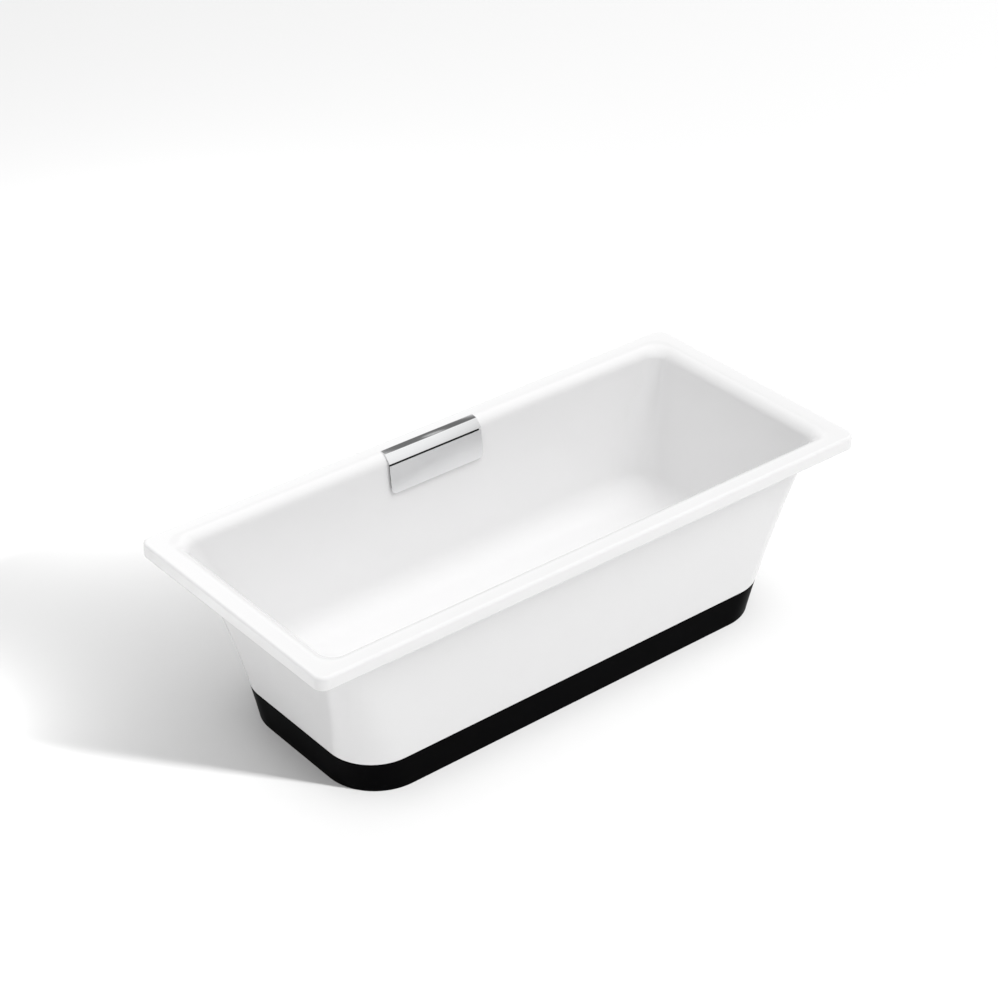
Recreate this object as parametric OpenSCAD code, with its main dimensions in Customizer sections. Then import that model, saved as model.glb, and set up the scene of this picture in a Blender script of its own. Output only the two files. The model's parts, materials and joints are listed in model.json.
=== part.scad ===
// Freestanding bathtub: an enamelled casting on a black plinth, with its drain, overflow and frame.
// Millimetres. The origin is on the floor under the tub's centre, +X along the length,
// +Y to the long side that carries the overflow, +Z up.

/* [Overall] */
// Length over the rim
rim_length = 1700; // [1500:5:2040]
// Width over the rim
rim_width = 750; // [680:5:900]
// Height of the rim above the floor
rim_height = 510; // [470:5:620]

/* [Casting] */
// Corner radius of the rim, seen from above
rim_corner_r = 30; // [26:1:60]
// Height of the turned-down lip
lip_drop = 40; // [34:1:55]
// Thickness of the lip
lip_t = 9; // [7:0.5:12]
// Thickness of the rim's flat top
rim_t = 9; // [7:0.5:12]
// Rounding of the lip's top edge
lip_top_r = 8; // [5:1:14]
// Rounding of the lip's bottom edge
lip_bottom_r = 7; // [3:1:8]
// How far the rim stands out past the body at each end
end_overhang = 77; // [62:1:92]
// How far the rim stands out past the body on each long side
side_overhang = 55; // [46:1:66]
// How far each end wall leans in from the neck to the floor
end_rake = 103; // [60:1:130]
// How far each end wall bows inwards at half height
end_bow = 15; // [0:1:20]
// How far each long wall leans in from the neck to the floor
side_rake = 48; // [30:1:60]
// Corner radius of the body at the neck
neck_corner_r = 69; // [64:1:84]
// Corner radius of the body at the floor
base_corner_r = 143; // [120:1:172]
// Wall thickness at the ends
end_wall = 7; // [6:0.5:10]
// Wall thickness on the long sides
side_wall = 14; // [12:0.5:17]
// Corner radius inside the basin at the neck
basin_neck_r = 47; // [40:1:56]
// Corner radius inside the basin, carried down to the floor
basin_base_r = 130; // [110:1:140]
// Width of the rounding from the rim into the basin, at the ends
end_roll = 40; // [30:1:48]
// Width of the rounding from the rim into the basin, on the long sides
side_roll = 33; // [26:1:38]
// Height of that rounding
roll_drop = 30; // [24:1:36]
// Thickness of the basin floor at its edge
floor_t = 12; // [10:0.5:16]
// Fall of the basin floor towards the drain
floor_fall = 3; // [1:0.5:4]
// Rounding between the basin floor and the walls
floor_round = 75; // [50:1:90]

/* [Plinth and frame] */
// Height of the black plinth
plinth_h = 95; // [90:1:130]
// Thickness of the plinth
plinth_t = 4; // [3:0.5:6]
// Width of the plinth's inner top flange
plinth_flange_w = 18; // [12:1:30]
// Thickness of the seal between plinth and casting
seal_t = 1.5; // [1:0.5:3]
// Distance from the centre to each cross bearer
bearer_x = 430; // [320:5:520]
// Width of a cross bearer
bearer_w = 40; // [36:1:50]
// Height of a cross bearer
bearer_h = 25; // [22:1:30]
// Wall of a cross bearer
bearer_wall = 3; // [2:0.5:4]
// Height of the bosses under the casting
boss_h = 12; // [8:1:16]
// Radius of the bosses
boss_r = 18; // [14:1:22]
// Distance from the centre line to the bearer bolts
bearer_bolt_y = 130; // [80:5:160]
// Radius of the bearer and rail bolts
bolt_r = 4; // [3:0.5:5]
// Distance from the plinth's inside to the side rails
rail_gap = 40; // [34:1:50]
// Height of a side rail
rail_h = 30; // [26:1:34]
// Width of a side rail's foot
rail_foot_w = 24; // [18:1:28]
// Thickness of a side rail
rail_t = 3; // [2:0.5:4]
// How far the side rails run past the bearers
rail_past = 120; // [60:5:160]
// Width of a plinth clip
clip_w = 30; // [20:1:40]
// Radius of a foot's threaded stud
foot_r = 6; // [5:0.5:8]
// Radius of a foot's rubber pad
pad_r = 24; // [18:1:26]
// Thickness of a foot's rubber pad
pad_t = 6; // [4:1:8]

/* [Drain and overflow] */
// Outer radius of the waste tubes
tube_r = 19; // [16:0.5:20]
// Wall of the waste tubes
tube_wall = 1.5; // [1:0.5:2]
// Height of the waste run below the casting
waste_below = 45; // [43:1:48]
// Radius of the drain flange
drain_r = 35; // [33:1:42]
// Outer radius of the drain's threaded spigot
spigot_r = 25.7; // [23:0.1:27]
// Radius of the stopper cap
cap_r = 29; // [27:1:32]
// Height of the stopper cap above its seal
cap_h = 4; // [3:0.5:6]
// Radius of the stopper stem
stem_r = 4; // [3:0.5:5]
// Travel of the stopper
stopper_travel = 9; // [6:1:10]
// Height of the overflow hole below the rim
overflow_below = 74; // [70:1:90]
// Distance from the casting's outside to the overflow pipe's axis
pipe_stand = 26.5; // [25:0.5:29]
// Radius of the overflow's hollow nipple
nipple_r = 16; // [13:0.5:17]
// Length of the chrome trim and plate
plate_l = 298; // [240:2:360]
// Height of the chrome plate
plate_h = 80; // [72:1:86]
// Thickness of the chrome plate and trim
plate_t = 2.5; // [2:0.5:4]
// Gap between the plate and the basin wall
plate_gap = 6; // [5:0.5:9]
// Corner radius of the chrome plate
plate_corner_r = 14; // [6:1:20]
// Distance from the trim's back edge to the flat of the rim
trim_set_in = 2; // [0:0.5:5]
// Width of the trim's strip on the rim
trim_strip = 19; // [14:0.5:23]
// Depth of the trim's lower edge below the rim
trim_drop = 23; // [20:0.5:27]
// Height of the slot between trim and plate
slot_h = 4; // [2:0.5:6]

/* [Hidden] */

$fn = 48;
arc_steps = 8;
gap = 0.3;        // clearance between pieces that only rest or pass
fit_gap = 0.05;   // radial clearance of a running fit
over = 1;         // how far a cut runs past a face

white = [0.96, 0.96, 0.96];
black = [0.03, 0.03, 0.03];
chrome = [0.78, 0.79, 0.80];
steel = [0.62, 0.63, 0.64];
brass = [0.80, 0.66, 0.36];
rubber = [0.10, 0.10, 0.10];

neck_z = rim_height - lip_drop;
floor_z = plinth_h + floor_t;
drain_z = floor_z - floor_fall;
side_slope = atan(side_rake / neck_z);

// ---- the flared body: half sizes and corner radius of its plan at a height ----

function way_up(z) = z / neck_z;
function body_x(z) = rim_length / 2 - end_overhang - end_rake * (1 - way_up(z))
    - 4 * end_bow * way_up(z) * (1 - way_up(z));
function body_y(z) = rim_width / 2 - side_overhang - side_rake * (1 - way_up(z));
function body_r(z) = base_corner_r + (neck_corner_r - base_corner_r) * way_up(z);
function basin_x(z) = body_x(z) - end_wall;
function basin_y(z) = body_y(z) - side_wall;
function basin_r(z) = basin_base_r + (basin_neck_r - basin_base_r) * way_up(z);

// A rounded rectangle of points at height z, anticlockwise from above
function ring(hx, hy, r, z) = [
    for (q = [0:3]) for (k = [0:arc_steps])
        let (a = 90 * (q + k / arc_steps))
        [(q == 0 || q == 3 ? 1 : -1) * (hx - r) + r * cos(a),
         (q < 2 ? 1 : -1) * (hy - r) + r * sin(a), z]
];
ring_n = 4 * (arc_steps + 1);

// Two triangles between each pair of points of ring i and ring m
function strip(i, m) = [
    for (j = [0:ring_n - 1])
        let (k = (j + 1) % ring_n)
        each [[i * ring_n + j, m * ring_n + j, m * ring_n + k],
              [i * ring_n + j, m * ring_n + k, i * ring_n + k]]
];

// ---- casting ----

wall_steps = 5;
roll_steps = 5;
edge_steps = 3;
fillet_steps = 6;
under_z = rim_height - rim_t;          // underside of the rim's flat top
inner_roll_z = rim_height - roll_drop; // where the basin wall starts to roll out
roll_corner_gain = 3;                  // how much the basin's corner radius grows over the roll
outer_roll_z = under_z - roll_drop;    // the same on the outside, behind the lip

function outer_wall() = [
    for (i = [0:wall_steps])
        let (z = plinth_h + (outer_roll_z - plinth_h) * i / wall_steps)
        ring(body_x(z), body_y(z), body_r(z), z)
];
// The wall goes on at its own slope, and a quarter round adds the rest of the roll's width
function under_rim() = [
    for (i = [1:roll_steps])
        let (a = 90 * i / roll_steps, out = 1 - cos(a), z = outer_roll_z + roll_drop * sin(a),
             r0 = body_r(outer_roll_z),
             grow_x = body_x(under_z) - body_x(outer_roll_z),
             grow_y = body_y(under_z) - body_y(outer_roll_z))
        ring(body_x(z) + (end_roll - grow_x) * out, body_y(z) + (side_roll - grow_y) * out,
             r0 + (rim_corner_r - r0) * out / 2, z)
];
function lip_inside() = [
    for (z = [under_z, neck_z])
        ring(rim_length / 2 - lip_t, rim_width / 2 - lip_t, rim_corner_r - lip_t, z)
];
// A rounded lip edge: cut is the distance in from the rim's outline, z the height
function lip_ring(cut, z) =
    ring(rim_length / 2 - cut, rim_width / 2 - cut, rim_corner_r - cut, z);
function lip_outside() = [
    for (i = [0:edge_steps])
        let (a = 90 * i / edge_steps)
        lip_ring(lip_bottom_r * (1 - sin(a)), neck_z + lip_bottom_r * (1 - cos(a))),
    for (i = [0:edge_steps + 1])
        let (a = 90 * i / (edge_steps + 1))
        lip_ring(lip_top_r * (1 - cos(a)), rim_height - lip_top_r * (1 - sin(a)))
];
function rim_roll() = [
    for (i = [0:roll_steps])
        let (a = 90 * (1 - i / roll_steps), out = 1 - cos(a), z = inner_roll_z + roll_drop * sin(a),
             grow_x = basin_x(rim_height) - basin_x(inner_roll_z),
             grow_y = basin_y(rim_height) - basin_y(inner_roll_z))
        ring(basin_x(z) + (end_roll - grow_x) * out, basin_y(z) + (side_roll - grow_y) * out,
             basin_r(inner_roll_z) + roll_corner_gain * out, z)
];
function basin_wall() = [
    for (i = [1:wall_steps])
        let (z = inner_roll_z + (floor_z + floor_round - inner_roll_z) * i / wall_steps)
        ring(basin_x(z), basin_y(z), basin_r(z), z)
];
function basin_fillet() = [
    for (i = [1:fillet_steps])
        let (a = 90 * i / fillet_steps, z = floor_z + floor_round * (1 - sin(a)),
             cut = floor_round * (1 - cos(a)))
        ring(basin_x(z) - cut, basin_y(z) - cut, basin_r(z) - cut * 0.6, z)
];

// One closed skin from the underside, up the outside, over the rim and down to the basin floor
module casting_blank() {
    rings = [
        each outer_wall(), each under_rim(), each lip_inside(), each lip_outside(),
        each rim_roll(), each basin_wall(), each basin_fillet()
    ];
    last = len(rings) - 1;
    middle = len(rings) * ring_n;
    polyhedron(
        points = [for (r = rings) each r, [0, 0, drain_z]],
        faces = [
            [for (j = [0:ring_n - 1]) j],
            for (i = [0:last - 1]) each strip(i, i + 1),
            for (j = [0:ring_n - 1])
                [last * ring_n + (j + 1) % ring_n, last * ring_n + j, middle]
        ]
    );
}

boss_z = plinth_h - boss_h;
seat_z = drain_z - 3;           // drain flange's seat, sunk into the floor
drain_hole_r = spigot_r + 1.3;
overflow_z = rim_height - overflow_below;
nipple_hole_r = nipple_r + 1;
pocket_r = nipple_r + 12;
wall_in = side_wall * cos(side_slope); // the long wall's thickness, square to its face
pocket_depth = 5;

// Places children on the outside of the far long wall at height z, with +Z out of the wall
module on_far_wall(z) {
    translate([0, body_y(z), z])
        rotate([-90 - side_slope, 0, 0])
            children();
}

// Repeats children at the four bearer bolts or feet
module at_four(x, y) {
    for (sx = [-1, 1])
        for (sy = [-1, 1])
            translate([sx * x, sy * y, 0])
                children();
}

// The trim's cross-section in Y and Z, as its outer line and that line moved in by a depth
trim_back_y = basin_y(inner_roll_z) + side_roll - trim_set_in;
trim_low_y = basin_y(inner_roll_z) - plate_gap - plate_t + 1;
trim_low_z = rim_height - trim_drop;
trim_proud = 0.8;
trim_fall = 2.8;
trim_line = [
    [trim_back_y, rim_height + trim_proud],
    [trim_back_y - trim_strip, rim_height + trim_proud - trim_fall],
    [trim_low_y, trim_low_z]
];
bevel_a = atan2(trim_line[1][1] - trim_line[2][1], trim_line[1][0] - trim_line[2][0]);
function trim_inside(d) = [
    [trim_back_y, trim_line[0][1] - d * 1.05],
    [trim_line[1][0] + d * 0.55, trim_line[1][1] - d * 0.95],
    [trim_low_y + d * sin(bevel_a), trim_low_z - d * cos(bevel_a)]
];

module trim_recess() {
    low = trim_inside(plate_t + gap);
    translate([-plate_l / 2 - gap, 0, 0])
        rotate([90, 0, 90])
            linear_extrude(plate_l + 2 * gap)
                polygon([
                    [low[0][0] + gap, low[0][1]], low[1], low[2],
                    [trim_low_y - 20, low[2][1]],
                    [trim_low_y - 20, rim_height + 10],
                    [low[0][0] + gap, rim_height + 10]
                ]);
}

module tub_shell() {
    color(white)
        difference() {
            union() {
                casting_blank();
                at_four(bearer_x, bearer_bolt_y)
                    translate([0, 0, boss_z])
                        cylinder(r = boss_r, h = boss_h + over);
            }
            translate([0, 0, plinth_h - over])
                cylinder(r = drain_hole_r, h = floor_t + 2 * over);
            translate([0, 0, seat_z])
                cylinder(r = drain_r + 1.5, h = floor_t);
            at_four(bearer_x, bearer_bolt_y)
                translate([0, 0, boss_z - over])
                    cylinder(r = bolt_r + 0.1, h = boss_h + 4 + over);
            on_far_wall(overflow_z) {
                translate([0, 0, -wall_in - 10])
                    cylinder(r = nipple_hole_r, h = wall_in + 20);
                translate([0, 0, -wall_in - 10])
                    cylinder(r = pocket_r, h = 10 + pocket_depth);
            }
            trim_recess();
        }
}

// ---- plinth ----

waste_z = plinth_h - waste_below;
plinth_top = plinth_h - seal_t;
grommet_r = tube_r + 7;

module plinth_band() {
    flange_z = plinth_top - plinth_t;
    rings = [
        ring(body_x(0), body_y(0), body_r(0), 0),
        ring(body_x(plinth_top), body_y(plinth_top), body_r(plinth_top), plinth_top),
        ring(body_x(plinth_top) - plinth_flange_w, body_y(plinth_top) - plinth_flange_w,
             body_r(plinth_top) - plinth_flange_w, plinth_top),
        ring(body_x(plinth_top) - plinth_flange_w, body_y(plinth_top) - plinth_flange_w,
             body_r(plinth_top) - plinth_flange_w, flange_z),
        ring(body_x(flange_z) - plinth_t, body_y(flange_z) - plinth_t,
             body_r(flange_z) - plinth_t, flange_z),
        ring(body_x(0) - plinth_t, body_y(0) - plinth_t, body_r(0) - plinth_t, 0)
    ];
    color(black)
        difference() {
            polyhedron(
                points = [for (r = rings) each r],
                faces = [for (i = [0:5]) each strip(i, (i + 1) % 6)]
            );
            translate([0, body_y(0) - 30, waste_z])
                rotate([-90, 0, 0])
                    cylinder(r = grommet_r, h = 60);
        }
}

// A rounded rectangle in plan, with true arcs at its corners
module plan(hx, hy, r) {
    square([2 * (hx - r), 2 * hy], center = true);
    square([2 * hx, 2 * (hy - r)], center = true);
    for (sx = [-1, 1])
        for (sy = [-1, 1])
            translate([sx * (hx - r), sy * (hy - r)])
                circle(r = r);
}

seal_set_back = 3;
seal_w = 10;

module plinth_seal() {
    hx = body_x(plinth_top) - seal_set_back;
    hy = body_y(plinth_top) - seal_set_back;
    r = body_r(plinth_top) - seal_set_back;
    color(rubber)
        translate([0, 0, plinth_top])
            linear_extrude(seal_t)
                difference() {
                    plan(hx, hy, r);
                    plan(hx - seal_w, hy - seal_w, r - seal_w);
                }
}

// ---- frame ----

bearer_top = boss_z;
bearer_low = bearer_top - bearer_h;
rail_y = body_y(0) - plinth_t - rail_gap;      // outer face of the rail's upright leg
bearer_end = rail_y - rail_t;
foot_y = bearer_end - pad_r - 4;
rail_low = bearer_top - rail_h;
rail_half = bearer_x + rail_past;
rail_foot_z = rail_low + rail_t;
rail_foot_reach = rail_foot_w + 10;            // how far the waste arm's notch reaches

module cross_bearer(side) {
    color(steel)
        difference() {
            translate([side * bearer_x - bearer_w / 2, -bearer_end, bearer_low])
                cube([bearer_w, 2 * bearer_end, bearer_h]);
            translate([side * bearer_x - bearer_w / 2 + bearer_wall, -bearer_end + bearer_wall,
                       bearer_low + bearer_wall])
                cube([bearer_w - 2 * bearer_wall, 2 * (bearer_end - bearer_wall),
                      bearer_h - 2 * bearer_wall]);
            for (sy = [-1, 1]) {
                translate([side * bearer_x, sy * bearer_bolt_y, bearer_low - over])
                    cylinder(r = bolt_r + gap, h = bearer_h + 2 * over);
                translate([side * bearer_x, sy * foot_y, bearer_low - over])
                    cylinder(r = foot_r + fit_gap, h = bearer_wall + 2 * over);
                translate([side * bearer_x, sy * (bearer_end - bearer_wall - over), rail_bolt_z])
                    rotate([-sy * 90, 0, 0])
                        cylinder(r = bolt_r + 0.1, h = bearer_wall + 2 * over);
            }
        }
}

module cross_bearer_left() {
    cross_bearer(-1);
}

module cross_bearer_right() {
    cross_bearer(1);
}

rail_bolt_z = bearer_low + bearer_h / 2;

module side_rail(side) {
    color(steel)
        difference() {
            union() {
                translate([-rail_half, min(side * bearer_end, side * rail_y), rail_low])
                    cube([2 * rail_half, rail_t, rail_h]);
                translate([-rail_half, side > 0 ? bearer_end : -bearer_end - rail_foot_w, rail_low])
                    cube([2 * rail_half, rail_foot_w, rail_t]);
            }
            for (sx = [-1, 1])
                translate([sx * bearer_x, side * (bearer_end - over), rail_bolt_z])
                    rotate([-side * 90, 0, 0])
                        cylinder(r = bolt_r + gap, h = rail_t + 2 * over);
            for (x = clip_xs)
                translate([x, side * clip_screw_y, rail_low - over])
                    cylinder(r = clip_screw_r + gap, h = rail_t + 2 * over);
            if (side > 0)
                translate([0, rail_y - rail_foot_reach, waste_z])
                    rotate([-90, 0, 0])
                        cylinder(r = tube_r + 3, h = 2 * rail_foot_reach);
        }
}

module side_rail_front() {
    side_rail(-1);
}

module side_rail_back() {
    side_rail(1);
}

bolt_head_r = bolt_r * 1.85;
bolt_head_h = bolt_r * 1.3;

// A hexagon bolt standing on its head, shank up
module hex_bolt(length) {
    translate([0, 0, -bolt_head_h])
        cylinder(r = bolt_head_r, h = bolt_head_h, $fn = 6);
    translate([0, 0, -0.01])
        cylinder(r = bolt_r, h = length);
}

module bearer_bolts() {
    color(steel)
        at_four(bearer_x, bearer_bolt_y)
            translate([0, 0, bearer_low])
                hex_bolt(bearer_h + boss_h + 2);
}

module rail_bolts() {
    color(steel)
        for (sx = [-1, 1])
            for (sy = [-1, 1])
                translate([sx * bearer_x, sy * rail_y, rail_bolt_z])
                    rotate([sy * 90, 0, 0])
                        hex_bolt(rail_t + bearer_wall + 4);
}

clip_xs = [-bearer_x - rail_past + clip_w, bearer_x + rail_past - clip_w];
clip_t = 2.5;
clip_screw_r = 2.5;
clip_screw_y = bearer_end + rail_foot_w - 8;
clip_top = rail_foot_z + 20;
clip_y = body_y(rail_foot_z) - plinth_t - gap - clip_t - 0.1; // clip's upright, clear of the plinth

// Each clip is an angle on the rail's foot with an upright behind the plinth
module plinth_clips() {
    color(steel)
        for (side = [-1, 1])
            for (x = clip_xs)
                difference() {
                    union() {
                        translate([x - clip_w / 2, side > 0 ? bearer_end + 4 : -clip_y - clip_t,
                                   rail_foot_z])
                            cube([clip_w, clip_y + clip_t - bearer_end - 4, clip_t]);
                        translate([x - clip_w / 2, side > 0 ? clip_y : -clip_y - clip_t, rail_foot_z])
                            cube([clip_w, clip_t, clip_top - rail_foot_z]);
                    }
                    translate([x, side * clip_screw_y, rail_foot_z - over])
                        cylinder(r = clip_screw_r + gap, h = clip_t + 2 * over);
                }
}

// Pan-head screws, each with its nut under the rail
module plinth_screws() {
    top = rail_foot_z + clip_t;
    color(steel)
        for (side = [-1, 1])
            for (x = clip_xs)
                translate([x, side * clip_screw_y, 0]) {
                    translate([0, 0, rail_low - 4])
                        cylinder(r = clip_screw_r, h = top - rail_low + 4.5);
                    translate([0, 0, top])
                        cylinder(r = clip_screw_r * 1.9, h = 3);
                    translate([0, 0, rail_low - 3])
                        cylinder(r = clip_screw_r * 1.8, h = 3, $fn = 6);
                }
}

// ---- levelling feet ----

foot_disc_t = 3;
foot_hex_h = 8;

module foot_place(n) {
    translate([(n == 1 || n == 4 ? -1 : 1) * bearer_x, (n < 3 ? -1 : 1) * foot_y, 0])
        children();
}

module foot_stud(n) {
    color(steel)
        foot_place(n) {
            translate([0, 0, pad_t])
                cylinder(r = pad_r - 3, h = foot_disc_t);
            translate([0, 0, pad_t + foot_disc_t - 0.01])
                cylinder(r = foot_r * 1.8, h = foot_hex_h, $fn = 6);
            translate([0, 0, pad_t + foot_disc_t])
                cylinder(r = foot_r, h = bearer_top - bearer_wall - 2 - pad_t - foot_disc_t);
        }
}

module foot_pad(n) {
    color(rubber)
        foot_place(n)
            cylinder(r = pad_r, h = pad_t);
}

module foot_stud_1() {
    foot_stud(1);
}

module foot_stud_2() {
    foot_stud(2);
}

module foot_stud_3() {
    foot_stud(3);
}

module foot_stud_4() {
    foot_stud(4);
}

module foot_pad_1() {
    foot_pad(1);
}

module foot_pad_2() {
    foot_pad(2);
}

module foot_pad_3() {
    foot_pad(3);
}

module foot_pad_4() {
    foot_pad(4);
}

module foot_locknuts() {
    color(steel)
        for (n = [1:4])
            foot_place(n)
                translate([0, 0, bearer_low - 8])
                    difference() {
                        cylinder(r = foot_r * 1.8, h = 8, $fn = 6);
                        translate([0, 0, -over])
                            cylinder(r = foot_r + gap, h = 8 + 2 * over);
                    }
}

// ---- drain and stopper ----

gasket_t = 1;
flange_t = 2.5;
flange_z = seat_z + gasket_t;
flange_top = flange_z + flange_t;
spigot_in = spigot_r - 3.2;
spigot_low = seat_z - 31;
hub_low = seat_z - 25;
hub_h = 12;
hub_r = stem_r + 3;
spoke_w = 4;
spoke_h = 6;

module tube(r_out, r_in, h) {
    difference() {
        cylinder(r = r_out, h = h);
        translate([0, 0, -over])
            cylinder(r = r_in, h = h + 2 * over);
    }
}

module drain_flange() {
    color(chrome)
        difference() {
            union() {
                difference() {
                    union() {
                        translate([0, 0, flange_z])
                            cylinder(r1 = drain_r, r2 = drain_r - 2, h = flange_t);
                        translate([0, 0, spigot_low])
                            cylinder(r = spigot_r, h = flange_z - spigot_low + 0.5);
                    }
                    translate([0, 0, spigot_low - over])
                        cylinder(r = spigot_in, h = flange_top - spigot_low + 2 * over);
                }
                for (a = [0, 90])
                    rotate([0, 0, a])
                        translate([-spigot_in - 0.5, -spoke_w / 2, hub_low + 3])
                            cube([2 * spigot_in + 1, spoke_w, spoke_h]);
                translate([0, 0, hub_low])
                    cylinder(r = hub_r, h = hub_h);
            }
            translate([0, 0, hub_low - over])
                cylinder(r = stem_r + fit_gap, h = hub_h + 2 * over);
        }
}

module drain_gasket_top() {
    color(rubber)
        translate([0, 0, seat_z])
            tube(drain_r - 0.5, drain_hole_r, gasket_t);
}

shoe_gasket_t = 2.5;
shoe_r = spigot_r + 7;
shoe_flange_r = shoe_r + 8;
shoe_top = plinth_h - shoe_gasket_t;
shoe_low = waste_z - tube_r - 5;
port_r = tube_r + 4;
socket_r = tube_r + 0.2;
socket_depth = 22;
shoe_port_end = 70;

module drain_gasket_bottom() {
    color(rubber)
        translate([0, 0, shoe_top])
            tube(shoe_flange_r - 1, drain_hole_r, shoe_gasket_t);
}

module drain_shoe() {
    color(brass)
        difference() {
            union() {
                translate([0, 0, shoe_low])
                    cylinder(r = shoe_r, h = shoe_top - shoe_low);
                translate([0, 0, shoe_top - 4])
                    cylinder(r = shoe_flange_r, h = 4);
                translate([0, 0, waste_z])
                    rotate([-90, 0, 0])
                        cylinder(r = port_r, h = shoe_port_end);
            }
            translate([0, 0, shoe_low + 4])
                cylinder(r = spigot_r + gap, h = shoe_top - shoe_low);
            translate([0, 0, waste_z])
                rotate([-90, 0, 0])
                    cylinder(r = tube_r - tube_wall, h = shoe_port_end + over);
            translate([0, shoe_port_end - socket_depth, waste_z])
                rotate([-90, 0, 0])
                    cylinder(r = socket_r, h = socket_depth + over);
        }
}

seal_h = 1.5;
stop_gap = 0.3;
cap_z = flange_top + stop_gap + seal_h;

module stopper_seal() {
    color(rubber)
        translate([0, 0, flange_top + stop_gap])
            tube(cap_r - 1.5, spigot_in - 1, seal_h);
}

// A shallow dome: the cap of a large sphere over a short rim
module stopper_cap() {
    dome = 2;
    dome_r = (cap_r * cap_r + dome * dome) / (2 * dome);
    color(chrome) {
        translate([0, 0, cap_z])
            cylinder(r = cap_r, h = cap_h - dome);
        intersection() {
            translate([0, 0, cap_z + cap_h - dome_r])
                sphere(r = dome_r, $fn = 200);
            translate([0, 0, cap_z + cap_h - dome - 0.5])
                cylinder(r = cap_r, h = dome + 1);
        }
    }
}

stem_head_h = 4;
stem_low = hub_low - stopper_travel - stop_gap - stem_head_h;

module stopper_stem() {
    color(brass)
        translate([0, 0, stem_low]) {
            cylinder(r = stem_r + 1.5, h = stem_head_h);
            cylinder(r = stem_r, h = cap_z - stem_low);
        }
}

// ---- waste run ----

pipe_y = body_y(overflow_z) + pipe_stand;
tee_arm = 46;                       // from the tee's centre to its arm's end
tee_up = 34;
tee_down = min(32, waste_z - 16);
tube_stop = 2;                      // a tube stops this far short of its socket's floor

module slip_tube(length) {
    tube(tube_r, tube_r - tube_wall, length);
}

module waste_arm() {
    start = shoe_port_end - socket_depth + tube_stop;
    end = pipe_y - tee_arm + socket_depth - tube_stop;
    color(chrome)
        translate([0, start, waste_z])
            rotate([-90, 0, 0])
                slip_tube(end - start);
}

module waste_tee() {
    color(chrome)
        translate([0, pipe_y, waste_z])
            difference() {
                union() {
                    translate([0, 0, -tee_down])
                        cylinder(r = port_r, h = tee_down + tee_up);
                    rotate([90, 0, 0])
                        cylinder(r = port_r, h = tee_arm);
                }
                translate([0, 0, -tee_down - over])
                    cylinder(r = tube_r - tube_wall, h = tee_down + tee_up + 2 * over);
                rotate([90, 0, 0])
                    cylinder(r = tube_r - tube_wall, h = tee_arm + over);
                translate([0, 0, -tee_down - over])
                    cylinder(r = socket_r, h = tail_socket + over);
                translate([0, 0, tee_up - tee_socket])
                    cylinder(r = socket_r, h = tee_socket + over);
                translate([0, -tee_arm, 0])
                    rotate([90, 0, 0])
                        translate([0, 0, -socket_depth])
                            cylinder(r = socket_r, h = socket_depth + over);
            }
}

tail_socket = 10;
tee_socket = 12;

module outlet_tail() {
    color(chrome)
        translate([0, pipe_y, 0])
            slip_tube(waste_z - tee_down + tail_socket - tube_stop);
}

module floor_escutcheon() {
    color(chrome)
        translate([0, pipe_y, 0])
            rotate_extrude()
                polygon([
                    [tube_r + gap, 0], [escutcheon_r, 0], [escutcheon_r, 1],
                    [tube_r + 3, 5], [tube_r + gap, 5]
                ]);
}

escutcheon_r = tube_r + 9;

module pipe_grommet() {
    color(rubber)
        translate([0, body_y(waste_z) - plinth_t - 6, waste_z])
            rotate([-90, 0, 0])
                tube(grommet_r - gap, tube_r + gap, plinth_t + 11);
}

body_low = overflow_z - 44;
body_high = overflow_z + 22;

module overflow_pipe() {
    low = waste_z + tee_up - tee_socket + tube_stop;
    high = body_low + socket_depth - tube_stop;
    color(chrome)
        translate([0, pipe_y, low])
            slip_tube(high - low);
}

nut_h = 14;
nut_r = port_r + 3;
nut_past = 6;        // how far a nut reaches past the port's end
nut_end_t = 2;
washer_h = nut_past - nut_end_t - 0.2;

// A slip nut at the origin, on a port that points to -Z with its end face at z = 0
module slip_nut() {
    translate([0, 0, -nut_past])
        difference() {
            cylinder(r = nut_r, h = nut_h);
            translate([0, 0, nut_end_t])
                cylinder(r = port_r + gap, h = nut_h);
            translate([0, 0, -over])
                cylinder(r = tube_r + gap, h = nut_end_t + 2 * over);
        }
}

module slip_washer() {
    translate([0, 0, -washer_h - 0.1])
        tube(port_r - 0.5, tube_r + 0.1, washer_h);
}

// Repeats children at the five tube joints, each turned to its port
module at_tube_joints() {
    translate([0, shoe_port_end, waste_z])
        rotate([90, 0, 0])
            children();
    translate([0, pipe_y - tee_arm, waste_z])
        rotate([-90, 0, 0])
            children();
    translate([0, pipe_y, waste_z + tee_up])
        rotate([180, 0, 0])
            children();
    translate([0, pipe_y, waste_z - tee_down])
        children();
    translate([0, pipe_y, body_low])
        children();
}

module slip_nuts() {
    color(chrome)
        at_tube_joints()
            slip_nut();
}

module slip_washers() {
    color(white)
        at_tube_joints()
            slip_washer();
}

// ---- overflow ----

outer_gasket_t = 3;
body_flange_t = 4;
body_flange_r = nipple_r + 14;

module overflow_gasket() {
    color(rubber)
        on_far_wall(overflow_z)
            tube(body_flange_r - 1, nipple_hole_r, outer_gasket_t);
}

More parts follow.
